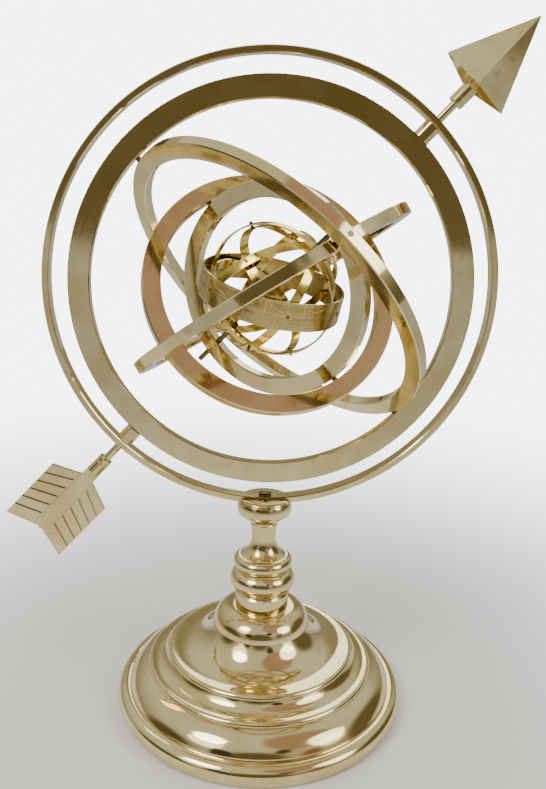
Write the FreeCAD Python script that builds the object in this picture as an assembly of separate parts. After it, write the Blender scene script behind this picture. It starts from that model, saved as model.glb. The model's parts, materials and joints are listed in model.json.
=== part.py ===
"""Armillary sphere with an arrow: a spun brass stand, a fixed outer ring, an arrow ring
that turns on the arrow's own shafts, four nested gimbal rings and a globe of thin hoops.

Millimetres, +Z up, origin at the centre of the felt's underside. The outer ring lies in
the XZ plane, and the arrow points up towards +X.
"""
import FreeCAD, Part
import math
import os

V = FreeCAD.Vector

# ---- driving dimensions -------------------------------------------------------------
CENTRE_HEIGHT = 232.8       # common centre of all the rings
CENTRE = V(0, 0, CENTRE_HEIGHT)
RUNNING_GAP = 0.05          # radial clearance of every turning pin or shaft
RING_THICKNESS = 5.9        # of every gimbal ring, along its own axis
RING_BEVEL = 0.5            # broken edges of the rings

OUTER_RING_RADIUS = 115.0
OUTER_RING_WIDTH = 3.5      # the outer ring is a strip: thin radially, deep along Y
OUTER_RING_DEPTH = 8.0

ARROW_ANGLE = 47.2          # slope of the arrow above the XY plane
SHAFT_RADIUS = 2.05
PIN_RADIUS = 1.4

# gimbal rings from the outside in: outer radius, radial width and how far each one is
# turned at rest about the pins that hold it in the ring before
RINGS = {
    "arrow_ring": (102.8, 11.1, -1.0),
    "great_ring": (89.7, 8.6, -60.6),
    "edge_ring": (79.0, 9.6, -73.4),
    "facing_ring": (65.7, 9.4, 78.6),
    "inner_ring": (54.8, 8.8, 58.7),
}

BASE_WALL = 1.6
BASE_RADIUS = 80.5
FELT_THICKNESS = 1.5
FELT_RADIUS = 76.0
BALLAST_THICKNESS = 6.0
BALLAST_RADIUS = 77.1
ROD_RADIUS = 3.0
ROD_ENTRY = 4.5             # of the tie rod into the ring cup

HOOP_THICKNESS = 0.8
HOOP_WIDTH = 4.6
HOOP_STEP = 0.9             # each layer of hoops lies this much inside the one before
BAND_RADIUS = 36.5
BAND_WIDTH = 14.0
BAND_TILT = 33.3            # of the zodiac band's axis from the globe's pins
BAND_TWIST = 92.9           # which way that tilt leans, about the pins
RIVET_RADIUS = 0.8
SPIGOT_RADIUS = 0.9         # turned-down ends of the globe pins, inside the sleeves
SLEEVE_RADIUS = 1.5
GLOBE_PIN_OVERHANG = 9.5    # one globe pin stands out of the inner ring by this much


# ---- directions ---------------------------------------------------------------------
def turned(vector, axis, degrees):
    return FreeCAD.Rotation(axis, degrees).multVec(vector)


def gimbal_chain():
    """Each ring's own axis at rest, and the pin line that carries the ring inside it."""
    slope = math.radians(ARROW_ANGLE)
    pin_line = V(math.cos(slope), 0, math.sin(slope))
    normal = V(0, -1, 0)
    chain = {}
    for name, (_, _, rest_turn) in RINGS.items():
        normal = turned(normal, pin_line, rest_turn)
        next_line = normal.cross(pin_line)
        chain[name] = {"normal": normal, "held_by": pin_line, "carries": next_line}
        pin_line = next_line
    return chain


CHAIN = gimbal_chain()
ARROW = CHAIN["arrow_ring"]["held_by"]
GLOBE_AXIS = CHAIN["inner_ring"]["carries"]


def inner_radius(name):
    radius, width, _ = RINGS[name]
    return radius - width


# ---- building blocks ----------------------------------------------------------------
def placed(shape, along_x, along_z, origin=CENTRE):
    """The shape with its own X and Z turned to the two given square directions."""
    turn = FreeCAD.Rotation(along_x, along_z.cross(along_x), along_z, "ZXY")
    shape.Placement = FreeCAD.Placement(origin, turn)
    return shape


def rod(direction, start, end, radius, origin=CENTRE):
    """A round rod on a line through the origin, between two distances from it."""
    return Part.makeCylinder(radius, end - start, origin + direction * start, direction)


def hexagon_bush(direction, start, end, corner_radius):
    side = direction.cross(V(0, 1, 0))
    corners = [
        CENTRE + direction * start + turned(side * corner_radius, direction, 60 * k)
        for k in range(7)
    ]
    prism = Part.Face(Part.makePolygon(corners)).extrude(direction * (end - start))
    rounded = rod(direction, start, end, corner_radius * 0.95)
    return prism.common(rounded)


def lathe(points):
    """A solid turned about Z from its radius and height points."""
    corners = [V(r, 0, z) for r, z in points]
    outline = Part.makePolygon(corners + corners[:1])
    return Part.Face(outline).revolve(V(0, 0, 0), V(0, 0, 1), 360)


def flat_ring(radius, width, thickness, bevel):
    """A ring about Z with bevelled edges, centred on the origin."""
    inner = radius - width
    half = thickness / 2
    return lathe([
        (inner + bevel, -half),
        (radius - bevel, -half),
        (radius, -half + bevel),
        (radius, half - bevel),
        (radius - bevel, half),
        (inner + bevel, half),
        (inner, half - bevel),
        (inner, -half + bevel),
    ])


def drilled(shape, direction, start, end, radius):
    """The shape with one straight hole at each end of a line through the centre."""
    for sense in (1, -1):
        shape = shape.cut(rod(direction * sense, start, end, radius))
    return shape


def export(name, solids):
    solids = [solid for shape in solids for solid in shape.Solids]
    shape = solids[0] if len(solids) == 1 else Part.makeCompound(solids)
    shape.exportStep("parts/" + name + ".step")


# ---- stand --------------------------------------------------------------------------
# the bell's steps: radius and height of each one's outer edge, and how far it rounds over
UPPER_STEP = (52.0, 31.3)
MIDDLE_STEP = (62.8, 23.6)
LOWER_STEP = (73.6, 12.4)
STEP_ROUND = 2.0
DOME_TOP = 56.6
DOME_SHOULDER = (27.0, 45.5)
DOME_HOLE_RADIUS = 12.5
RIM_HEIGHT = 6.0            # of the rim's widest circle
FOOT_HEIGHT = FELT_THICKNESS - 0.9
FOOT_RADIUS = BASE_RADIUS - 1.6
COLLAR_RADIUS = 14.8


def arc_through(a, b, c):
    return Part.Arc(V(a[0], 0, a[1]), V(b[0], 0, b[1]), V(c[0], 0, c[1])).toShape()


def line(a, b):
    return Part.LineSegment(V(a[0], 0, a[1]), V(b[0], 0, b[1])).toShape()


def bell_outline(inset):
    """The bell's outline from its top hole down to the foot, set in by the wall."""
    def at(point, outward=0.0, upward=0.0):
        return (point[0] + outward - inset, point[1] + upward - inset * 0.9)

    def rounded_step(step):
        tread = at(step, -STEP_ROUND, 0.6)
        nose = at(step, -0.3, -0.2)
        riser = at(step, 0.2, -STEP_ROUND)
        return tread, nose, riser

    top = (DOME_HOLE_RADIUS, DOME_TOP)
    upper, middle = rounded_step(UPPER_STEP), rounded_step(MIDDLE_STEP)
    lower_lip = at(LOWER_STEP, 0.3, -1.4)
    rim = (BASE_RADIUS, RIM_HEIGHT)
    return [
        line(at(top), at(top, 2.5)),
        arc_through(at(top, 2.5), at(DOME_SHOULDER, -4.0, 8.2), at(DOME_SHOULDER)),
        arc_through(at(DOME_SHOULDER), at(DOME_SHOULDER, 7.6, -9.0), upper[0]),
        arc_through(*upper),
        arc_through(upper[2], at(MIDDLE_STEP, -6.6, 1.6), middle[0]),
        arc_through(*middle),
        arc_through(middle[2], at(LOWER_STEP, -3.2, 4.6), at(LOWER_STEP)),
        line(at(LOWER_STEP), lower_lip),
        arc_through(lower_lip, at(rim, -1.4, 3.4), at(rim)),
        arc_through(at(rim), at(rim, -0.5, -2.8), (FOOT_RADIUS - inset, FOOT_HEIGHT)),
    ]


def base_shell():
    outside = bell_outline(0)
    inside = bell_outline(BASE_WALL)
    top = (DOME_HOLE_RADIUS, DOME_TOP)
    top_edge = line(top, (top[0] - BASE_WALL, top[1] - BASE_WALL * 0.9))
    foot_edge = line((FOOT_RADIUS, FOOT_HEIGHT), (FOOT_RADIUS - BASE_WALL, FOOT_HEIGHT))
    wire = Part.Wire(Part.sortEdges(outside + inside + [top_edge, foot_edge])[0])
    return Part.Face(wire).revolve(V(0, 0, 0), V(0, 0, 1), 360)


def ballast_disc():
    foot = FELT_THICKNESS
    return lathe([
        (ROD_RADIUS, foot),
        (BALLAST_RADIUS, foot),
        (BALLAST_RADIUS, foot + BALLAST_THICKNESS * 0.5),
        (BALLAST_RADIUS - 3, foot + BALLAST_THICKNESS),
        (ROD_RADIUS, foot + BALLAST_THICKNESS),
    ])


def felt_pad():
    return Part.makeCylinder(FELT_RADIUS, FELT_THICKNESS)


COLLAR_TOP = 65.6
COLLAR_SPIGOT_RADIUS = 10.8
LOWER_BEAD_TOP = 78.8
LOWER_BEAD_RADIUS = 18.1
UPPER_BEAD_TOP = 86.6
UPPER_BEAD_RADIUS = 16.4
TRUMPET_RADIUS = 12.6
NECK_RADIUS = 6.6
NECK_HEIGHT = 96.0
CUP_BOTTOM = 105.2
CUP_TOP = 120.4
CUP_RADIUS = 14.9
CUP_FOOT_RADIUS = 7.0
RING_BOTTOM = CENTRE_HEIGHT - OUTER_RING_RADIUS
SCREW_RADIUS = 1.6
SCREW_DEPTH = 6.7           # of the screw's tip below the outer ring


def collar_ring():
    return lathe([
        (ROD_RADIUS, DOME_TOP - 1.4),
        (COLLAR_SPIGOT_RADIUS, DOME_TOP - 1.4),
        (COLLAR_SPIGOT_RADIUS, DOME_TOP),
        (COLLAR_RADIUS - 0.6, DOME_TOP),
        (COLLAR_RADIUS, DOME_TOP + 0.8),
        (COLLAR_RADIUS, COLLAR_TOP - 1.6),
        (COLLAR_RADIUS - 1.4, COLLAR_TOP),
        (ROD_RADIUS, COLLAR_TOP),
    ])


def bead(bottom, top, radius):
    """A ring with a rounded rim, turned about the tie rod."""
    middle = (bottom + top) / 2
    rim = radius - (top - bottom) * 0.36
    edges = [
        line((ROD_RADIUS, bottom), (rim, bottom)),
        arc_through((rim, bottom), (radius, middle), (rim, top)),
        line((rim, top), (ROD_RADIUS, top)),
        line((ROD_RADIUS, top), (ROD_RADIUS, bottom)),
    ]
    return Part.Face(Part.Wire(edges)).revolve(V(0, 0, 0), V(0, 0, 1), 360)


def trumpet_stem():
    bottom = UPPER_BEAD_TOP
    foot = (TRUMPET_RADIUS, bottom)
    neck = (NECK_RADIUS, NECK_HEIGHT)
    head = (NECK_RADIUS + 0.9, CUP_BOTTOM)
    edges = [
        line((ROD_RADIUS, bottom), foot),
        arc_through(foot, (NECK_RADIUS + 2.0, bottom + 3.6), neck),
        arc_through(neck, (NECK_RADIUS + 0.2, CUP_BOTTOM - 3.9), head),
        line(head, (ROD_RADIUS, CUP_BOTTOM)),
        line((ROD_RADIUS, CUP_BOTTOM), (ROD_RADIUS, bottom)),
    ]
    return Part.Face(Part.Wire(edges)).revolve(V(0, 0, 0), V(0, 0, 1), 360)


def ring_cup():
    """The cup under the outer ring: a waisted foot, a barrel, and a slot the ring lies in."""
    foot = (CUP_FOOT_RADIUS, CUP_BOTTOM + 1.0)
    waist = (CUP_FOOT_RADIUS + 1.2, CUP_BOTTOM + 1.6)
    barrel_foot = (CUP_RADIUS - 0.9, CUP_BOTTOM + 6.2)
    barrel_head = (CUP_RADIUS - 1.0, CUP_TOP - 1.6)
    lip = (CUP_RADIUS - 2.8, CUP_TOP)
    edges = [
        line((0, CUP_BOTTOM), (CUP_FOOT_RADIUS, CUP_BOTTOM)),
        line((CUP_FOOT_RADIUS, CUP_BOTTOM), foot),
        line(foot, waist),
        arc_through(waist, (CUP_RADIUS - 4.5, CUP_BOTTOM + 3.6), barrel_foot),
        arc_through(barrel_foot, (CUP_RADIUS, CUP_BOTTOM + 10.1), barrel_head),
        arc_through(barrel_head, (CUP_RADIUS - 1.6, CUP_TOP - 0.5), lip),
        line(lip, (0, CUP_TOP)),
        line((0, CUP_TOP), (0, CUP_BOTTOM)),
    ]
    body = Part.Face(Part.Wire(edges)).revolve(V(0, 0, 0), V(0, 0, 1), 360)
    ring_side = V(0, -OUTER_RING_DEPTH / 2, CENTRE_HEIGHT)
    around_ring = Part.makeCylinder(OUTER_RING_RADIUS, OUTER_RING_DEPTH, ring_side, V(0, 1, 0))
    rod_hole = Part.makeCylinder(ROD_RADIUS, ROD_ENTRY + 1.5, V(0, 0, CUP_BOTTOM - 1))
    screw_hole = Part.makeCylinder(SCREW_RADIUS, 8.0, V(0, 0, RING_BOTTOM - SCREW_DEPTH - 0.3))
    return body.cut(around_ring).cut(rod_hole).cut(screw_hole)


def ring_screw():
    """A pan-head screw from the inside of the outer ring down into the cup."""
    seat = RING_BOTTOM + OUTER_RING_WIDTH + 0.05
    head = lathe([
        (0, seat),
        (3.6, seat),
        (3.4, seat + 1.2),
        (2.4, seat + 1.7),
        (0, seat + 1.7),
    ])
    tip = RING_BOTTOM - SCREW_DEPTH
    shank = Part.makeCylinder(SCREW_RADIUS, seat + 0.1 - tip, V(0, 0, tip))
    driver_slot = Part.makeBox(8, 0.9, 1.0, V(-4, -0.45, seat + 1.0))
    return head.fuse(shank).cut(driver_slot)


def tie_rod():
    foot = FELT_THICKNESS + 0.2
    return Part.makeCylinder(ROD_RADIUS, CUP_BOTTOM + ROD_ENTRY - foot, V(0, 0, foot))


NUT_CORNER_RADIUS = 6.0
NUT_HEIGHT = 5.0
WASHER_RADIUS = 7.5
WASHER_THICKNESS = 1.0


def tie_washer():
    """Sits on top of the ballast disc, under the nut that draws the stem down."""
    foot = FELT_THICKNESS + BALLAST_THICKNESS
    disc = Part.makeCylinder(WASHER_RADIUS, WASHER_THICKNESS, V(0, 0, foot))
    return disc.cut(Part.makeCylinder(ROD_RADIUS, 3, V(0, 0, foot - 1)))


def tie_nut():
    foot = FELT_THICKNESS + BALLAST_THICKNESS + WASHER_THICKNESS
    corners = [turned(V(NUT_CORNER_RADIUS, 0, foot), V(0, 0, 1), 60 * k) for k in range(7)]
    prism = Part.Face(Part.makePolygon(corners)).extrude(V(0, 0, NUT_HEIGHT))
    return prism.cut(Part.makeCylinder(ROD_RADIUS, 8, V(0, 0, foot - 1)))


def outer_ring():
    ring = flat_ring(OUTER_RING_RADIUS, OUTER_RING_WIDTH, OUTER_RING_DEPTH, RING_BEVEL)
    ring = placed(ring, V(1, 0, 0), V(0, -1, 0))
    inside = OUTER_RING_RADIUS - OUTER_RING_WIDTH
    ring = drilled(ring, ARROW, inside - 2, OUTER_RING_RADIUS + 2, SHAFT_RADIUS + RUNNING_GAP)
    return ring.cut(Part.makeCylinder(SCREW_RADIUS, OUTER_RING_WIDTH + 2, V(0, 0, RING_BOTTOM - 1)))


# ---- gimbal rings and their pins ----------------------------------------------------
def gimbal_ring(name):
    """A flat ring, bored to turn on the pins that hold it and to seat those it carries."""
    radius, width, _ = RINGS[name]
    here = CHAIN[name]
    ring = placed(
        flat_ring(radius, width, RING_THICKNESS, RING_BEVEL), here["held_by"], here["normal"])
    start = radius - width - 2
    if name == "arrow_ring":
        ring = drilled(ring, here["held_by"], radius - width * 0.7, radius + 2, SHAFT_RADIUS)
    else:
        ring = drilled(ring, here["held_by"], start, radius + 2, PIN_RADIUS + RUNNING_GAP)
    return drilled(ring, here["carries"], start, radius + 2, PIN_RADIUS)


def pivot_pins(name, inside_name):
    """A pair of pins seated in one ring and reaching into the ring inside it."""
    line_of_pins = CHAIN[name]["carries"]
    outer_end = RINGS[name][0] - 0.1
    inner_end = inner_radius(inside_name) + 0.3
    return [rod(line_of_pins * sense, inner_end, outer_end, PIN_RADIUS) for sense in (1, -1)]


# ---- arrow --------------------------------------------------------------------------
BUSH_CORNER_RADIUS = 4.6
BUSH_START = RINGS["arrow_ring"][0] - 0.1
BUSH_END = OUTER_RING_RADIUS - OUTER_RING_WIDTH - 0.4
SHAFT_START = RINGS["arrow_ring"][0] - RINGS["arrow_ring"][1] * 0.7
HEAD_BASE = 138.5
HEAD_TIP = 181.0
HEAD_HALF_WIDTH = 19.7
HEAD_HALF_DEPTH = 11.0
HEAD_RECESS = 4.0
FERRULE_START = 126.0
FERRULE_RADIUS = 4.0
TAIL_START = 136.0
TAIL_END = 181.5
TAIL_HALF_WIDTH = 18.6
TAIL_SWEEP = 8.0
SPINE_HALF_WIDTH = 3.6
VANE_THICKNESS = 3.2
SPINE_THICKNESS = 5.0
SLOTS_PER_VANE = 5
SLOT_WIDTH = 1.7
SLOT_DEPTH = 0.8


def shaft(sense, end):
    return rod(ARROW * sense, SHAFT_START, end, SHAFT_RADIUS)


def bush(sense):
    nut = hexagon_bush(ARROW * sense, BUSH_START, BUSH_END, BUSH_CORNER_RADIUS)
    ring_rim = placed(
        Part.makeCylinder(RINGS["arrow_ring"][0], 20, V(0, 0, -10)),
        ARROW, CHAIN["arrow_ring"]["normal"])
    return nut.cut(ring_rim).cut(rod(ARROW * sense, BUSH_START - 1, BUSH_END + 1, SHAFT_RADIUS))


def arrow_frame(along, across, depth):
    """A point by its distance along the arrow, across it in the ring plane, and towards -Y."""
    across_line = ARROW.cross(V(0, -1, 0)) * -1
    return CENTRE + ARROW * along + across_line * across + V(0, -1, 0) * depth


def solid_from_faces(faces):
    shell = Part.makeShell([Part.Face(Part.makePolygon(corners + corners[:1])) for corners in faces])
    solid = Part.makeSolid(shell)
    if solid.Volume < 0:
        solid.reverse()
    return solid


def arrow_head():
    """A four-sided point with a hollowed base."""
    tip = arrow_frame(HEAD_TIP, 0, 0)
    corners = [
        arrow_frame(HEAD_BASE, HEAD_HALF_WIDTH, 0),
        arrow_frame(HEAD_BASE - 1.8, 0, HEAD_HALF_DEPTH),
        arrow_frame(HEAD_BASE, -HEAD_HALF_WIDTH, 0),
        arrow_frame(HEAD_BASE - 1.8, 0, -HEAD_HALF_DEPTH),
    ]
    hollow = arrow_frame(HEAD_BASE + HEAD_RECESS, 0, 0)
    faces = []
    for k in range(4):
        pair = [corners[k], corners[(k + 1) % 4]]
        faces.append([tip] + pair)
        faces.append([hollow] + pair[::-1])
    return solid_from_faces(faces).cut(rod(ARROW, FERRULE_START, HEAD_BASE + 8, FERRULE_RADIUS * 0.6))


def head_ferrule():
    """A turned socket on the shaft with a spigot that enters the arrow head."""
    body = rod(ARROW, FERRULE_START, HEAD_BASE - 2.2, FERRULE_RADIUS)
    spigot = rod(ARROW, HEAD_BASE - 2.2, HEAD_BASE + 8, FERRULE_RADIUS * 0.6)
    socket = rod(ARROW, FERRULE_START - 1, FERRULE_START + 7, SHAFT_RADIUS)
    groove = rod(ARROW, FERRULE_START + 2.4, FERRULE_START + 3.2, FERRULE_RADIUS + 1)
    groove = groove.cut(rod(ARROW, FERRULE_START, FERRULE_START + 5, FERRULE_RADIUS - 0.5))
    return body.fuse(spigot).cut(socket).cut(groove)


def tail_plate(outline, thickness):
    """A flat plate in the ring plane from its along and across points."""
    corners = [arrow_frame(-along, across, -thickness / 2) for along, across in outline]
    return Part.Face(Part.makePolygon(corners + corners[:1])).extrude(V(0, -1, 0) * thickness)


def vane(side):
    inner_front = TAIL_START + 4.5
    inner_back = TAIL_END - 1.5
    outer_front = inner_front + TAIL_SWEEP
    outer_back = TAIL_END + 4.2
    plate = tail_plate([
        (inner_front, side * 1.0),
        (outer_front, side * TAIL_HALF_WIDTH),
        (outer_back, side * TAIL_HALF_WIDTH),
        (inner_back, side * 1.0),
    ], VANE_THICKNESS)
    first = inner_front + 5.0
    pitch = (inner_back - inner_front - 6.5) / SLOTS_PER_VANE
    for k in range(SLOTS_PER_VANE):
        start = first + pitch * k
        lean = TAIL_SWEEP * (1 - 0.07 * k)
        outline = [
            (start, side * (SPINE_HALF_WIDTH + 1.0)),
            (start + lean, side * (TAIL_HALF_WIDTH + 1)),
            (start + lean + SLOT_WIDTH, side * (TAIL_HALF_WIDTH + 1)),
            (start + SLOT_WIDTH, side * (SPINE_HALF_WIDTH + 1.0)),
        ]
        slot = tail_plate(outline, VANE_THICKNESS + 2)
        core = tail_plate(outline, VANE_THICKNESS - 2 * SLOT_DEPTH)
        plate = plate.cut(slot.cut(core))
    return plate


def arrow_tail():
    spine = tail_plate([
        (TAIL_START, -SPINE_HALF_WIDTH),
        (TAIL_END - 4.0, -SPINE_HALF_WIDTH),
        (TAIL_END - 1.0, 0),
        (TAIL_END - 4.0, SPINE_HALF_WIDTH),
        (TAIL_START, SPINE_HALF_WIDTH),
    ], SPINE_THICKNESS)
    return spine.fuse(vane(1)).fuse(vane(-1)).removeSplitter()


def tail_ferrule():
    body = rod(ARROW * -1, FERRULE_START, TAIL_START, FERRULE_RADIUS - 0.3)
    socket = rod(ARROW * -1, FERRULE_START - 1, FERRULE_START + 7, SHAFT_RADIUS)
    groove = rod(ARROW * -1, FERRULE_START + 2.4, FERRULE_START + 3.2, FERRULE_RADIUS + 1)
    groove = groove.cut(rod(ARROW * -1, FERRULE_START, FERRULE_START + 5, FERRULE_RADIUS - 0.8))
    return body.cut(socket).cut(groove)


# ---- globe --------------------------------------------------------------------------
GLOBE_SIDE = CHAIN["inner_ring"]["held_by"]
BAND_AXIS = turned(GLOBE_AXIS, turned(GLOBE_SIDE, GLOBE_AXIS, BAND_TWIST), BAND_TILT)
MERIDIAN_TURNS = {"meridian_hoop_a": 20, "meridian_hoop_b": 80, "meridian_hoop_c": 140}
TROPIC_LATITUDE = 28.0


def layer_radius(layer):
    """Outer radius of a layer of hoops; the zodiac band is layer 0."""
    return BAND_RADIUS - HOOP_STEP * layer


def zone_hoop(axis, side, layer, latitude, width):
    """A thin strip of a sphere around an axis, centred on a latitude."""
    outer = layer_radius(layer)
    inner = outer - HOOP_THICKNESS
    half_angle = math.degrees(width / 2 / outer)

    def at(radius, angle):
        angle = math.radians(angle)
        return (radius * math.cos(angle), radius * math.sin(angle))

    low, high = latitude - half_angle, latitude + half_angle
    edges = [
        arc_through(at(outer, low), at(outer, latitude), at(outer, high)),
        line(at(outer, high), at(inner, high)),
        arc_through(at(inner, high), at(inner, latitude), at(inner, low)),
        line(at(inner, low), at(outer, low)),
    ]
    strip = Part.Face(Part.Wire(edges)).revolve(V(0, 0, 0), V(0, 0, 1), 360)
    return placed(strip, side, axis)


def globe_rivets():
    """One rivet wherever a meridian hoop crosses the zodiac band or a tropic hoop."""
    rivets = []
    depth = layer_radius(4) - HOOP_THICKNESS
    for degrees in MERIDIAN_TURNS.values():
        meridian_axis = turned(GLOBE_SIDE, GLOBE_AXIS, degrees)
        crossing = meridian_axis.cross(BAND_AXIS).normalize()
        for sense in (1, -1):
            rivets.append(rod(crossing * sense, layer_radius(3) - HOOP_THICKNESS - 0.3,
                              BAND_RADIUS + 0.4, RIVET_RADIUS))
        for latitude in (TROPIC_LATITUDE, -TROPIC_LATITUDE):
            spoke = turned(GLOBE_AXIS.cross(meridian_axis), meridian_axis, -latitude)
            for sense in (1, -1):
                upward = turned(spoke, GLOBE_AXIS, 0 if sense == 1 else 180)
                rivets.append(rod(upward, depth - 0.3, layer_radius(1) + 0.3, RIVET_RADIUS))
    return rivets


def globe_sleeves():
    """Short tubes through the meridian hoops that turn on the globe pins."""
    start = layer_radius(4) - HOOP_THICKNESS - 2.0
    sleeves = []
    for sense in (1, -1):
        line_out = GLOBE_AXIS * sense
        tube = rod(line_out, start, BAND_RADIUS + 0.8, SLEEVE_RADIUS)
        sleeves.append(tube.cut(rod(line_out, start - 1, BAND_RADIUS + 2, SPIGOT_RADIUS + RUNNING_GAP)))
    return sleeves


def globe_pins():
    """Two pins seated in the inner ring, with thin ends in the sleeves; one was left long."""
    inner_end = layer_radius(4) - HOOP_THICKNESS - 1.0
    shoulder = BAND_RADIUS + 1.2
    ring_radius = RINGS["inner_ring"][0]
    pins = []
    for sense, outer_end in ((1, ring_radius + GLOBE_PIN_OVERHANG), (-1, ring_radius - 0.1)):
        line_out = GLOBE_AXIS * sense
        spigot = rod(line_out, inner_end, shoulder + 1, SPIGOT_RADIUS)
        pins.append(rod(line_out, shoulder, outer_end, PIN_RADIUS).fuse(spigot))
    return pins


def zodiac_band():
    outside = Part.makeCylinder(BAND_RADIUS, BAND_WIDTH, V(0, 0, -BAND_WIDTH / 2))
    inside_radius = BAND_RADIUS - HOOP_THICKNESS
    band = outside.cut(Part.makeCylinder(inside_radius, BAND_WIDTH + 2, V(0, 0, -BAND_WIDTH / 2 - 1)))
    side = BAND_AXIS.cross(GLOBE_AXIS).normalize()
    return placed(band, side, BAND_AXIS)


def globe_nodes():
    rivets = globe_rivets()
    holes = Part.makeCompound(rivets)
    sleeve_holes = [
        rod(GLOBE_AXIS * sense, 20, BAND_RADIUS + 3, SLEEVE_RADIUS) for sense in (1, -1)]
    nodes = {"zodiac_band": [zodiac_band().cut(holes)]}
    for layer, (name, degrees) in enumerate(MERIDIAN_TURNS.items(), start=1):
        axis = turned(GLOBE_SIDE, GLOBE_AXIS, degrees)
        hoop = zone_hoop(axis, GLOBE_AXIS, layer, 0, HOOP_WIDTH).cut(holes)
        for hole in sleeve_holes:
            hoop = hoop.cut(hole)
        nodes[name] = [hoop]
    tropics = {"tropic_hoop_north": TROPIC_LATITUDE, "tropic_hoop_south": -TROPIC_LATITUDE}
    for name, latitude in tropics.items():
        nodes[name] = [zone_hoop(GLOBE_AXIS, GLOBE_SIDE, 4, latitude, HOOP_WIDTH).cut(holes)]
    nodes["globe_rivets"] = rivets
    nodes["globe_sleeves"] = globe_sleeves()
    return nodes


# ---- all nodes ----------------------------------------------------------------------
def all_nodes():
    nodes = {
        "base_shell": [base_shell()],
        "ballast_disc": [ballast_disc()],
        "felt_pad": [felt_pad()],
        "tie_rod": [tie_rod()],
        "tie_washer": [tie_washer()],
        "tie_nut": [tie_nut()],
        "collar_ring": [collar_ring()],
        "lower_bead": [bead(COLLAR_TOP, LOWER_BEAD_TOP, LOWER_BEAD_RADIUS)],
        "upper_bead": [bead(LOWER_BEAD_TOP, UPPER_BEAD_TOP, UPPER_BEAD_RADIUS)],
        "trumpet_stem": [trumpet_stem()],
        "ring_cup": [ring_cup()],
        "ring_screw": [ring_screw()],
        "outer_ring": [outer_ring()],
        "shaft_head_side": [shaft(1, FERRULE_START + 7)],
        "shaft_tail_side": [shaft(-1, FERRULE_START + 7)],
        "bush_head_side": [bush(1)],
        "bush_tail_side": [bush(-1)],
        "head_ferrule": [head_ferrule()],
        "arrow_head": [arrow_head()],
        "tail_ferrule": [tail_ferrule()],
        "arrow_tail": [arrow_tail()],
        "globe_pins": globe_pins(),
    }
    names = list(RINGS)
    for name in names:
        nodes[name] = [gimbal_ring(name)]
    for name, inside_name in zip(names[:-1], names[1:]):
        nodes["pins_in_" + name] = pivot_pins(name, inside_name)
    nodes.update(globe_nodes())
    return nodes


os.makedirs("parts", exist_ok=True)
for node_name, node_solids in all_nodes().items():
    export(node_name, node_solids)
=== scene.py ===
"""Looks of the brass armillary sphere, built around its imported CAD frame. Metres, +Z up."""
import json
import math
import random

import bmesh
import bpy
import numpy
from mathutils import Matrix, Vector


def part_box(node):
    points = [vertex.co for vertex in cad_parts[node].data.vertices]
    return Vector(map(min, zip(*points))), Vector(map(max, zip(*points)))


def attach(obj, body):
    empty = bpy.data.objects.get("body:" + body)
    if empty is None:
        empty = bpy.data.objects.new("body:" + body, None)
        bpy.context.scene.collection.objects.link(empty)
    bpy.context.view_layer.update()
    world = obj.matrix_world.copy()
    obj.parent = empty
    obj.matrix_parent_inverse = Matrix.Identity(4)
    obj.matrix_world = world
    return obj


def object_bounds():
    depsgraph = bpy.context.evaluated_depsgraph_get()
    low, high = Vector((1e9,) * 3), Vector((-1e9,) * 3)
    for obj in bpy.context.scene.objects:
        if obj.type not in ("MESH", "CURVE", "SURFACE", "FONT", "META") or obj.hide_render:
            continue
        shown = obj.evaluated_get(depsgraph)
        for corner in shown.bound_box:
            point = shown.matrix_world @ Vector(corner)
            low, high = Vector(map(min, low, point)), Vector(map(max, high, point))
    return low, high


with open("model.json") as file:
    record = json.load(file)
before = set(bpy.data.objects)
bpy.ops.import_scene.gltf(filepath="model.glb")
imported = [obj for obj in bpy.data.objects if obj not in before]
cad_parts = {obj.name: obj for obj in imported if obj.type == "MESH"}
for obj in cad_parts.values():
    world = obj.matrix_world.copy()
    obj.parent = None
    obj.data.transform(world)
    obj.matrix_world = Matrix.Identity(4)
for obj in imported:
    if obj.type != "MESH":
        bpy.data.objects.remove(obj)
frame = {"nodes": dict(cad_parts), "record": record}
cad_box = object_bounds()

MM = 0.001
JOINTS = {joint["name"]: joint for joint in frame["record"]["behaviour"]["joints"]}
CENTRE = Vector(JOINTS["arrow_spin"]["pos_m"])


def joint_axis(name):
    return Vector(JOINTS[name]["axis"]).normalized()


ARROW = joint_axis("arrow_spin")
AXES = {
    "arrow_body": ARROW.cross(joint_axis("great_ring_spin")),
    "great_body": joint_axis("great_ring_spin").cross(joint_axis("edge_ring_spin")),
    "edge_body": joint_axis("edge_ring_spin").cross(joint_axis("facing_ring_spin")),
    "facing_body": joint_axis("facing_ring_spin").cross(joint_axis("inner_ring_swing")),
    "inner_body": joint_axis("inner_ring_swing").cross(joint_axis("globe_spin")),
    "globe_body": joint_axis("globe_spin"),
    "stand": Vector((0, 0, 1)),
}


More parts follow.
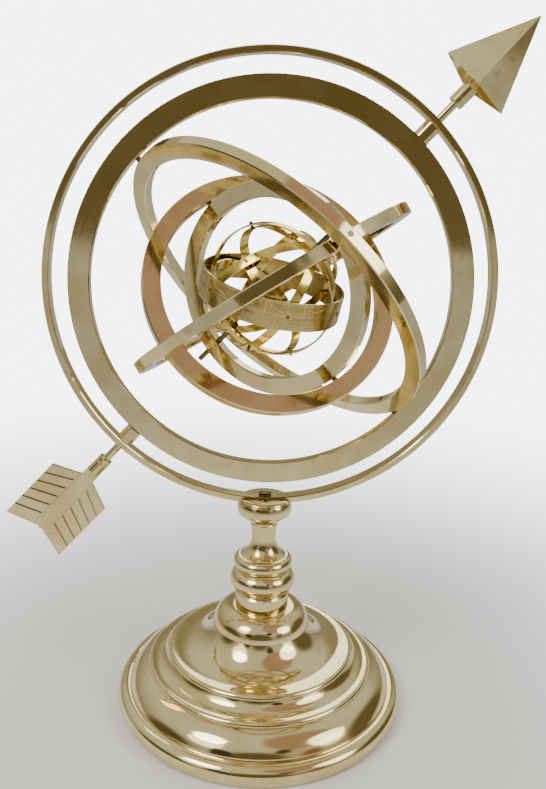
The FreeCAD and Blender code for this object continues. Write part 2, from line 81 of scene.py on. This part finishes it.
# ---- node helpers -------------------------------------------------------------------
class Nodes:
    """A short way to write node trees: every call adds one node and returns its output."""

    def __init__(self, tree):
        self.tree = tree
        self.tree.nodes.clear()

    def add(self, kind, output=0, settings=None, **inputs):
        node = self.tree.nodes.new(kind)
        for key, value in (settings or {}).items():
            setattr(node, key, value)
        for key, value in inputs.items():
            by_number = key[0] == "i" and key[1:].isdigit()
            self.feed(node.inputs[int(key[1:]) if by_number else key.replace("_", " ")], value)
        return node.outputs[output]

    def feed(self, socket, value):
        """Links an output to the socket, or sets the socket to a plain value."""
        if isinstance(value, bpy.types.NodeSocket):
            self.tree.links.new(value, socket)
        else:
            socket.default_value = value

    def math(self, operation, a, b=0.0):
        return self.add("ShaderNodeMath", settings={"operation": operation}, i0=a, i1=b)

    def vector(self, operation, a, b=(0, 0, 0)):
        output = 1 if operation in ("DOT_PRODUCT", "LENGTH") else 0
        return self.add("ShaderNodeVectorMath", output, {"operation": operation}, i0=a, i1=b)

    def stretch(self, value, low, high, to_low=0.0, to_high=1.0, smooth=True):
        kind = "SMOOTHSTEP" if smooth else "LINEAR"
        return self.add("ShaderNodeMapRange", 0, {"interpolation_type": kind},
                        i0=value, i1=low, i2=high, i3=to_low, i4=to_high)

    def mix(self, factor, a, b):
        node = self.tree.nodes.new("ShaderNodeMix")
        node.data_type = "RGBA"
        for number, value in ((0, factor), (6, a), (7, b)):
            self.feed(node.inputs[number], value + (1.0,) if isinstance(value, tuple) else value)
        return node.outputs[2]

    def noise(self, place, scale, detail=2.0, roughness=0.5):
        return self.add("ShaderNodeTexNoise", 0, Vector=place, Scale=scale, Detail=detail,
                        Roughness=roughness)


def new_material(name):
    material = bpy.data.materials.new(name)
    material.use_nodes = True
    return material, Nodes(material.node_tree)


# ---- metals -------------------------------------------------------------------------
BRASS_TONES = {
    "polished": ((0.79, 0.66, 0.36), (0.68, 0.55, 0.25)),
    "hoop": ((0.80, 0.60, 0.17), (0.62, 0.44, 0.09)),
    "relief": ((0.88, 0.70, 0.28), (0.74, 0.55, 0.18)),
    "ground": ((0.62, 0.46, 0.14), (0.30, 0.21, 0.06)),
    "dark": ((0.20, 0.15, 0.07), (0.07, 0.05, 0.025)),
    "steel": ((0.56, 0.57, 0.58), (0.40, 0.40, 0.41)),
}
# Tarnish tone for stains and specks, also used as painted shade in hollows.
TARNISH_AND_SHADE = (0.16, 0.11, 0.045)
# Cream tone for bright edges: wear and painted highlight.
EDGE_WEAR_AND_HIGHLIGHT_TONE = (0.95, 0.86, 0.62)


def marks_along(n, place, axis, centre):
    """Coordinates that stay the same all round an axis, so noise on them draws lathe marks."""
    local = n.vector("SUBTRACT", place, tuple(centre))
    along = n.vector("DOT_PRODUCT", local, tuple(axis))
    reach = n.vector("LENGTH", local)
    drift = n.noise(place, 14.0, 1.0)
    return n.add("ShaderNodeCombineXYZ", X=reach, Y=along,
                 Z=n.math("MULTIPLY", drift, 0.0015))


def marks_straight(n, place, axis):
    """Coordinates squeezed along one direction, so noise on them draws straight marks."""
    axis = Vector(axis)
    along = n.vector("DOT_PRODUCT", place, tuple(axis))
    shift = n.add("ShaderNodeVectorMath", 0, {"operation": "SCALE"}, i0=tuple(axis), i3=along)
    across = n.vector("SUBTRACT", place, shift)
    return n.vector("ADD", across, n.add(
        "ShaderNodeVectorMath", 0, {"operation": "SCALE"}, i0=tuple(axis),
        i3=n.math("MULTIPLY", along, 0.04)))


def metal(name, tone, axis=(0, 0, 1), centre=(0, 0, 0), straight=False, roughness=(0.045, 0.13),
          tarnish=0.35, mark_scale=1400.0, mark_depth=0.05, crevice_shade=0.0):
    """Polished metal: two tones, fine polishing marks, cloudy tarnish, painted shade in hollows
    when asked, and bright edges that are wear and painted highlight.
    """
    material, n = new_material(name)
    place = n.add("ShaderNodeTexCoord", 3)
    lines = marks_straight(n, place, axis) if straight else marks_along(n, place, axis, centre)
    fine = n.noise(lines, mark_scale, 3.0, 0.6)
    cloud = n.noise(place, 38.0, 4.0, 0.6)
    smear = n.noise(lines, mark_scale * 0.08, 2.0, 0.5)
    light, deep = BRASS_TONES[tone]
    colour = n.mix(n.stretch(cloud, 0.38, 0.66), light, deep)
    stain_noise = n.noise(place, 105.0, 5.0, 0.65)
    stain = n.math("MULTIPLY", n.stretch(stain_noise, 0.60, 0.74), tarnish)
    colour = n.mix(stain, colour, TARNISH_AND_SHADE)
    specks = n.stretch(n.noise(place, 900.0, 1.0), 0.71, 0.76)
    colour = n.mix(n.math("MULTIPLY", specks, tarnish), colour, TARNISH_AND_SHADE)
    # Painted shade: where ambient occlusion finds the surface closed in (crevices, slots, round the
    # relief), the colour is darkened towards the tarnish tone.
    if crevice_shade:
        open_sky = n.add("ShaderNodeAmbientOcclusion", 1, {"samples": 6}, Distance=1.6 * MM)
        colour = n.mix(n.stretch(open_sky, 0.35, 0.9, crevice_shade, 0.0), colour, TARNISH_AND_SHADE)
    # Painted highlight along edges, together with wear: where the bevelled normal turns away from
    # the face, the colour is brightened towards the cream edge tone (the material's light tone on
    # dark brass and steel).
    bevel = n.add("ShaderNodeBevel", 0, {"samples": 4}, Radius=0.35 * MM)
    facing = n.vector("DOT_PRODUCT", bevel, n.add("ShaderNodeNewGeometry", 1))
    worn_and_highlit = n.stretch(facing, 0.90, 0.995, 0.55, 0.0)
    colour = n.mix(worn_and_highlit, colour, EDGE_WEAR_AND_HIGHLIGHT_TONE if tone not in ("dark", "steel") else light)
    rough = n.stretch(n.math("ADD", n.math("MULTIPLY", fine, 0.5), n.math("MULTIPLY", cloud, 0.5)),
                      0.35, 0.68, roughness[0], roughness[1])
    rough = n.math("ADD", rough, n.math("MULTIPLY", stain, 0.25))
    height = n.math("ADD", n.math("MULTIPLY", fine, 0.3), n.math("MULTIPLY", smear, 1.0))
    bump = n.add("ShaderNodeBump", 0, Strength=mark_depth, Distance=0.02 * MM, Height=height)
    shader = n.add("ShaderNodeBsdfPrincipled", 0, Base_Color=colour, Metallic=1.0,
                   Roughness=rough, Normal=bump)
    link_surface(n, shader)
    return material


def link_surface(n, shader):
    end = n.tree.nodes.new("ShaderNodeOutputMaterial")
    n.tree.links.new(shader, end.inputs["Surface"])


def felt_material():
    """Pressed wool: cloudy green, matted fibres and a soft sheen."""
    material, n = new_material("green_felt")
    place = n.add("ShaderNodeTexCoord", 3)
    fibres = n.noise(place, 1500.0, 5.0, 0.75)
    cloud = n.noise(place, 60.0, 3.0)
    colour = n.mix(n.stretch(fibres, 0.3, 0.7), (0.022, 0.060, 0.036), (0.050, 0.120, 0.070))
    colour = n.mix(n.stretch(cloud, 0.4, 0.7, 0.0, 0.4), colour, (0.03, 0.07, 0.05))
    bump = n.add("ShaderNodeBump", 0, Strength=0.7, Distance=0.2 * MM, Height=fibres)
    shader = n.add("ShaderNodeBsdfPrincipled", 0, Base_Color=colour, Roughness=0.95, Normal=bump)
    shader.node.inputs["Sheen Weight"].default_value = 0.4
    link_surface(n, shader)
    return material


def floor_material(glow):
    """Pale paper near the object that turns into an even pale ground further out."""
    material, n = new_material("pale_floor")
    place = n.add("ShaderNodeTexCoord", 3)
    grain = n.noise(place, 240.0, 3.0)
    paper = n.mix(grain, (0.86, 0.86, 0.86), (0.89, 0.89, 0.89))
    near = n.add("ShaderNodeBsdfPrincipled", 0, Base_Color=paper, Roughness=0.85)
    seen = n.add("ShaderNodeLightPath", 0)
    strength = n.stretch(seen, 0.0, 1.0, GROUND_REFLECTED, 1.0)
    far = n.add("ShaderNodeEmission", 0, Color=glow + (1.0,), Strength=strength)
    reach = n.stretch(n.vector("LENGTH", place), 0.12, 0.75)
    shader = n.add("ShaderNodeMixShader", 0, i0=reach, i1=near, i2=far)
    link_surface(n, shader)
    return material


# ---- CAD nodes get their finish -------------------------------------------------------
def finish_cad_nodes():
    stand_axis = AXES["stand"]
    table = {}
    for body, nodes in frame["record"]["behaviour"]["bodies"].items():
        for node in nodes:
            table[node] = (body, next(s["material_slot"] for s in frame["record"]["subparts"]
                                      if s["node"] == node))
    made = {}

    def finish_for(node, body, slot):
        if slot == "felt":
            return "felt", felt_material
        if slot == "steel":
            return "zinc_steel", lambda: metal(
                "zinc_steel", "steel", stand_axis, roughness=(0.2, 0.4), tarnish=0.2)
        if slot == "dark_brass":
            return "dark_brass", lambda: metal(
                "dark_brass", "dark", stand_axis, roughness=(0.18, 0.42), tarnish=0.7)
        if slot == "engraved_brass":
            return "band_ground", lambda: metal(
                "band_ground", "ground", AXES[body], CENTRE, roughness=(0.16, 0.34), tarnish=0.8,
                mark_depth=0.12, crevice_shade=0.8)
        if slot == "hoop_brass":
            return "hoop_brass", lambda: metal(
                "hoop_brass", "hoop", AXES[body], CENTRE, roughness=(0.06, 0.18), tarnish=0.5)
        if node in ("arrow_head", "arrow_tail"):
            return "arrow_brass", lambda: metal(
                "arrow_brass", "polished", ARROW, straight=True, mark_scale=900.0,
                tarnish=0.5, crevice_shade=0.75)
        if node.endswith("_ring") and node != "collar_ring":
            axis = Vector((0, 1, 0)) if node == "outer_ring" else AXES[body]
            return "brass_" + node, lambda: metal(
                "brass_" + node, "polished", axis, CENTRE, mark_scale=1300.0)
        return "brass_spun", lambda: metal(
            "brass_spun", "polished", stand_axis, mark_scale=1100.0, mark_depth=0.08)

    for node, (body, slot) in table.items():
        key, make = finish_for(node, body, slot)
        if key not in made:
            made[key] = make()
        for material_slot in frame["nodes"][node].material_slots:
            material_slot.material = made[key]
    return made


# ---- added pieces -------------------------------------------------------------------
def piece_from(name, bm, material, body, smooth=True):
    mesh = bpy.data.meshes.new(name)
    bmesh.ops.recalc_face_normals(bm, faces=bm.faces)
    bm.to_mesh(mesh)
    bm.free()
    for polygon in mesh.polygons:
        polygon.use_smooth = smooth
    mesh.materials.append(material)
    piece = bpy.data.objects.new(name, mesh)
    bpy.context.scene.collection.objects.link(piece)
    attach(piece, body)
    return piece


RELIEF_HEIGHT = 0.16 * MM
RELIEF_SINK = 0.05 * MM
BAND_SIGNS = 12
FIGURE_LINE = 0.22 * MM

# heights across the band, in millimetres from its middle
BORDER_LINES = (6.55, 6.0, 0.75, -1.95, -5.9, -6.5)
SCALE_TOP = 0.75
SCALE_LOWS = {"long": -1.95, "middle": -0.75, "short": -0.3}
BAR_ROWS = (-2.75, -3.6, -4.45, -5.3)
DEGREES_PER_SIGN = 30


def band_frame():
    """The zodiac band's axis and outer radius, measured from the rims of its own mesh."""
    offsets = [vertex.co - CENTRE for vertex in frame["nodes"]["zodiac_band"].data.vertices]
    reach = max(offset.length for offset in offsets)
    rim = numpy.array([tuple(offset) for offset in offsets if offset.length > reach * 0.9999])
    _, directions = numpy.linalg.eigh(rim.T @ rim)
    axis = Vector(directions[:, 0].tolist()).normalized()
    if axis.z < 0:
        axis = -axis
    half_width = max(abs(offset.dot(axis)) for offset in offsets)
    return axis, math.sqrt(reach ** 2 - half_width ** 2)


class BandRelief:
    """Raised work wrapped on the band: shapes are drawn flat as (arc length, height)."""

    def __init__(self, axis, side, radius):
        self.axis = axis
        self.side = side
        self.third = axis.cross(side)
        self.radius = radius
        self.bm = bmesh.new()

    def point(self, u, v, lift):
        angle = u / self.radius
        out = self.side * math.cos(angle) + self.third * math.sin(angle)
        return CENTRE + out * (self.radius + lift) + self.axis * v

    def prism(self, outline, lift=RELIEF_HEIGHT):
        """A raised flat-topped shape from a closed outline, with sides leaning slightly in."""
        cu = sum(u for u, _ in outline) / len(outline)
        cv = sum(v for _, v in outline) / len(outline)
        low = [self.bm.verts.new(self.point(u, v, -RELIEF_SINK)) for u, v in outline]
        top = [self.bm.verts.new(self.point(cu + (u - cu) * 0.94, cv + (v - cv) * 0.94, lift))
               for u, v in outline]
        count = len(outline)
        self.bm.faces.new(top)
        for k in range(count):
            self.bm.faces.new((low[k], low[(k + 1) % count], top[(k + 1) % count], top[k]))
        self.bm.faces.new(low[::-1])

    def stroke(self, start, end, width, lift=RELIEF_HEIGHT):
        start, end = Vector(start), Vector(end)
        run = end - start
        side = Vector((-run.y, run.x)).normalized() * (width / 2)
        pieces = max(1, math.ceil(abs(run.x) / (2.4 * MM)))
        for k in range(pieces):
            a = start + run * (k / pieces)
            b = start + run * ((k + 1) / pieces)
            self.prism([tuple(a - side), tuple(b - side), tuple(b + side), tuple(a + side)], lift)

    def star(self, u, v, reach, points=5):
        outline = []
        for k in range(points * 2):
            r = reach if k % 2 == 0 else reach * 0.45
            angle = math.pi / 2 + math.pi * k / points
            outline.append((u + r * math.cos(angle), v + r * math.sin(angle)))
        self.prism(outline)

    def dot(self, u, v, reach):
        self.prism([(u + reach * math.cos(math.tau * k / 8), v + reach * math.sin(math.tau * k / 8))
                    for k in range(8)])


def invented_figure(relief, left, width, chance):
    """A made-up star figure: a chain of stars joined by thin lines, with one side branch."""
    count = chance.choice((4, 5, 6))
    stars = []
    for k in range(count):
        u = left + width * (0.14 + 0.72 * k / (count - 1))
        v = chance.uniform(1.4, 5.2) * MM
        stars.append((u, v))
    for a, b in zip(stars[:-1], stars[1:]):
        relief.stroke(a, b, FIGURE_LINE)
    branch = chance.choice(stars[1:-1])
    tip_height = 5.3 * MM if branch[1] < 3.3 * MM else 1.2 * MM
    tip = (branch[0] + chance.uniform(-2.2, 2.2) * MM, tip_height)
    relief.stroke(branch, tip, FIGURE_LINE)
    for k, (u, v) in enumerate(stars + [tip]):
        relief.star(u, v, (0.75 if k % 2 == 0 else 0.58) * MM, 5 if k % 2 == 0 else 4)
    for _ in range(6):
        u = left + width * chance.uniform(0.1, 0.9)
        relief.dot(u, chance.uniform(1.2, 5.4) * MM, 0.16 * MM)


def zodiac_relief(material, axis, radius):
    """Twelve panels with invented star figures, a degree scale and rows of plain bars."""
    relief = BandRelief(axis, axis.cross(AXES["globe_body"]).normalized(), radius)
    chance = random.Random(12)
    around = math.tau * radius
    panel = around / BAND_SIGNS
    for v in BORDER_LINES:
        relief.stroke((0, v * MM), (around, v * MM), 0.26 * MM)
    for sign in range(BAND_SIGNS):
        left = panel * sign
        relief.stroke((left, -5.9 * MM), (left, 6.0 * MM), 0.3 * MM)
        invented_figure(relief, left, panel, chance)
        for tick in range(1, DEGREES_PER_SIGN):
            u = left + panel * tick / DEGREES_PER_SIGN
            length = "long" if tick % 5 == 0 else ("middle" if tick % 2 else "short")
            relief.stroke((u, SCALE_LOWS[length] * MM), (u, SCALE_TOP * MM), 0.2 * MM)
        for v in BAR_ROWS:
            u = left + 1.0 * MM
            while u < left + panel - 1.9 * MM:
                long = chance.uniform(0.35, 1.5) * MM
                relief.stroke((u, v * MM), (u + long, v * MM), 0.3 * MM)
                u += long + 0.45 * MM
    return piece_from("zodiac_relief", relief.bm, material, "globe_body",
                      smooth=False)


def braze_bead(name, path, radius, material, body, seed):
    """A lumpy run of brazing metal along a path, thin at both ends."""
    chance = random.Random(seed)
    bm = bmesh.new()
    sides = 8
    rings = []
    for k, place in enumerate(path):
        place = Vector(place)
        ahead = Vector(path[min(k + 1, len(path) - 1)]) - Vector(path[max(k - 1, 0)])
        ahead.normalize()
        first = ahead.orthogonal().normalized()
        second = ahead.cross(first)
        share = k / (len(path) - 1)
        swell = radius * (0.25 + 0.75 * math.sin(math.pi * share) ** 0.5) * chance.uniform(0.8, 1.2)
        rings.append([bm.verts.new(place + (first * math.cos(math.tau * s / sides)
                                            + second * math.sin(math.tau * s / sides))
                                   * swell * chance.uniform(0.85, 1.15)) for s in range(sides)])
    for a, b in zip(rings[:-1], rings[1:]):
        for s in range(sides):
            bm.faces.new((a[s], a[(s + 1) % sides], b[(s + 1) % sides], b[s]))
    bm.faces.new(rings[0][::-1])
    bm.faces.new(rings[-1])
    piece = piece_from(name, bm, material, body)
    rounder = piece.modifiers.new("rounder", "SUBSURF")
    rounder.levels = 1
    rounder.render_levels = 1
    return piece


def cup_brazing(material):
    """Dark brazing where the outer ring leaves the cup, on both faces and both sides."""
    cup_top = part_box("ring_cup")[1][2]
    ring_low, ring_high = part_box("outer_ring")
    ring_radius = (ring_high[2] - ring_low[2]) / 2
    ring_face = (ring_high[1] - ring_low[1]) / 2
    for face in (-1, 1):
        for side in (-1, 1):
            path = []
            for k in range(7):
                x = side * (8.6 + 0.75 * k) * MM
                z = CENTRE.z - math.sqrt(ring_radius ** 2 - x ** 2)
                z = max(z + 0.1 * MM, cup_top - 0.1 * MM)
                path.append((x, face * (ring_face + 0.1 * MM), z))
            braze_bead("cup_brazing_%d" % (2 * (face > 0) + (side > 0)), path, 0.75 * MM, material,
                       "stand", 3 * face + side + 10)


def bush_brazing(material):
    """A ring of dark brazing round the foot of each bush on the arrow ring."""
    arrow_high = Vector(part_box("arrow_ring")[1])
    foot = max(arrow_high.x, arrow_high.z - CENTRE.z)
    for sense in (1, -1):
        line = ARROW * sense
        first = line.orthogonal().normalized()
        second = line.cross(first)
        path = []
        for k in range(24):
            angle = math.tau * k / 24
            out = first * math.cos(angle) + second * math.sin(angle)
            path.append(CENTRE + line * (foot + 0.2 * MM) + out * 4.2 * MM)
        flat = [p for p in path if abs((p - CENTRE).dot(AXES["arrow_body"])) < 2.4 * MM]
        halves = [[p for p in path if (p - CENTRE).dot(line.cross(AXES["arrow_body"])) * s > 0
                   and p in flat] for s in (1, -1)]
        for number, half in enumerate(halves):
            half.sort(key=lambda p: (p - CENTRE).dot(AXES["arrow_body"]))
            if len(half) > 2:
                braze_bead("bush_brazing_%d_%d" % (sense > 0, number), half, 0.55 * MM, material,
                           "arrow_body", 20 + number + sense)


# ---- room ---------------------------------------------------------------------------
GROUND_GLOW = (6.0, 6.0, 6.0)
GROUND_REFLECTED = 0.09      # share of the ground glow that the brass mirrors

# what the brass mirrors: direction, half angle in degrees, softness in degrees, colour
ROOM = [
    ((-0.03, -1.0, 0.12), 25, 5, (0.16, 0.13, 0.07)),
    ((0.41, -0.43, 0.80), 22, 3, (0.52, 0.36, 0.30)),
    ((-0.95, -0.30, -0.05), 24, 6, (0.12, 0.11, 0.06)),
    ((0.95, 0.15, 0.10), 24, 6, (0.16, 0.14, 0.08)),
    ((0.10, 0.95, 0.35), 28, 8, (0.34, 0.31, 0.22)),
    ((-0.60, -0.55, 0.58), 13, 2, (2.8, 2.7, 2.4)),
    ((0.85, -0.45, 0.45), 11, 2, (2.4, 2.3, 2.1)),
    ((-0.15, -0.75, -0.65), 9, 2, (0.05, 0.045, 0.03)),
    ((-0.45, -0.80, 0.30), 9, 2, (0.07, 0.055, 0.035)),
    ((0.62, -0.70, 0.22), 8, 2, (0.32, 0.14, 0.11)),
    ((0.30, -0.80, 0.52), 6, 1, (0.06, 0.05, 0.03)),
]


def room_light():
    """A pale room with a few darker and brighter areas for the brass to mirror."""
    world = bpy.data.worlds.new("studio")
    bpy.context.scene.world = world
    world.use_nodes = True
    n = Nodes(world.node_tree)
    place = n.add("ShaderNodeTexCoord", 0)
    height = n.add("ShaderNodeSeparateXYZ", 2, Vector=place)
    colour = n.mix(n.stretch(height, -0.25, 0.75), (0.26, 0.24, 0.17), (0.78, 0.78, 0.72))
    for direction, half_angle, softness, patch in ROOM:
        towards = tuple(Vector(direction).normalized())
        near = n.vector("DOT_PRODUCT", n.vector("NORMALIZE", place), towards)
        low = math.cos(math.radians(half_angle + softness))
        high = math.cos(math.radians(half_angle - softness))
        colour = n.mix(n.stretch(near, low, high), colour, patch)
    seen = n.add("ShaderNodeLightPath", 0)
    colour = n.mix(seen, colour, GROUND_GLOW)
    shader = n.add("ShaderNodeBackground", 0, Color=colour, Strength=1.0)
    end = n.tree.nodes.new("ShaderNodeOutputWorld")
    n.tree.links.new(shader, end.inputs["Surface"])


def floor():
    bm = bmesh.new()
    bmesh.ops.create_circle(bm, cap_ends=True, segments=96, radius=6.0)
    mesh = bpy.data.meshes.new("floor")
    bm.to_mesh(mesh)
    bm.free()
    mesh.materials.append(floor_material(GROUND_GLOW))
    piece = bpy.data.objects.new("floor", mesh)
    piece.location.z = cad_box[0][2]
    bpy.context.scene.collection.objects.link(piece)


def soft_lamp(name, place, target, size, power, tint):
    lamp = bpy.data.lights.new(name, "AREA")
    lamp.shape = "DISK"
    lamp.size = size
    lamp.energy = power
    lamp.color = tint
    holder = bpy.data.objects.new(name, lamp)
    holder.location = place
    holder.rotation_euler = (Vector(target) - Vector(place)).to_track_quat("-Z", "Y").to_euler()
    bpy.context.scene.collection.objects.link(holder)


def lamps():
    soft_lamp("key", (-0.9, -0.8, 1.3), CENTRE, 0.7, 9.0, (1.0, 0.98, 0.95))
    soft_lamp("fill", (1.1, -0.6, 0.9), CENTRE, 0.8, 5.0, (0.97, 0.98, 1.0))
    soft_lamp("back", (0.2, 1.2, 1.1), CENTRE, 0.9, 5.0, (1.0, 1.0, 1.0))


CAMERA_FROM_CENTRE = Vector((-10.8, -390.6, 48.4)) * MM
CAMERA_PITCH = math.radians(14.79)
CAMERA_YAW = math.radians(-1.96)
CAMERA_ROLL = math.radians(1.92)
CAMERA_LENS = 35.0


def camera():
    data = bpy.data.cameras.new("view")
    data.sensor_width = 36.0
    data.lens = CAMERA_LENS
    data.clip_start = 0.01
    holder = bpy.data.objects.new("view", data)
    down = Matrix.Rotation(math.radians(90) - CAMERA_PITCH, 4, "X")
    turn = Matrix.Rotation(CAMERA_YAW, 4, "Z")
    roll = Matrix.Rotation(CAMERA_ROLL, 4, "Z")
    holder.matrix_world = Matrix.Translation(CENTRE + CAMERA_FROM_CENTRE) @ turn @ down @ roll
    bpy.context.scene.collection.objects.link(holder)
    bpy.context.scene.camera = holder


camera()
room_light()
floor()
lamps()
finishes = finish_cad_nodes()
band_axis, band_radius = band_frame()
relief_brass = metal("relief_brass", "relief", band_axis, CENTRE, roughness=(0.12, 0.26),
                     tarnish=0.3, crevice_shade=0.7)
zodiac_relief(relief_brass, band_axis, band_radius)
cup_brazing(finishes["dark_brass"])
bush_brazing(finishes["dark_brass"])
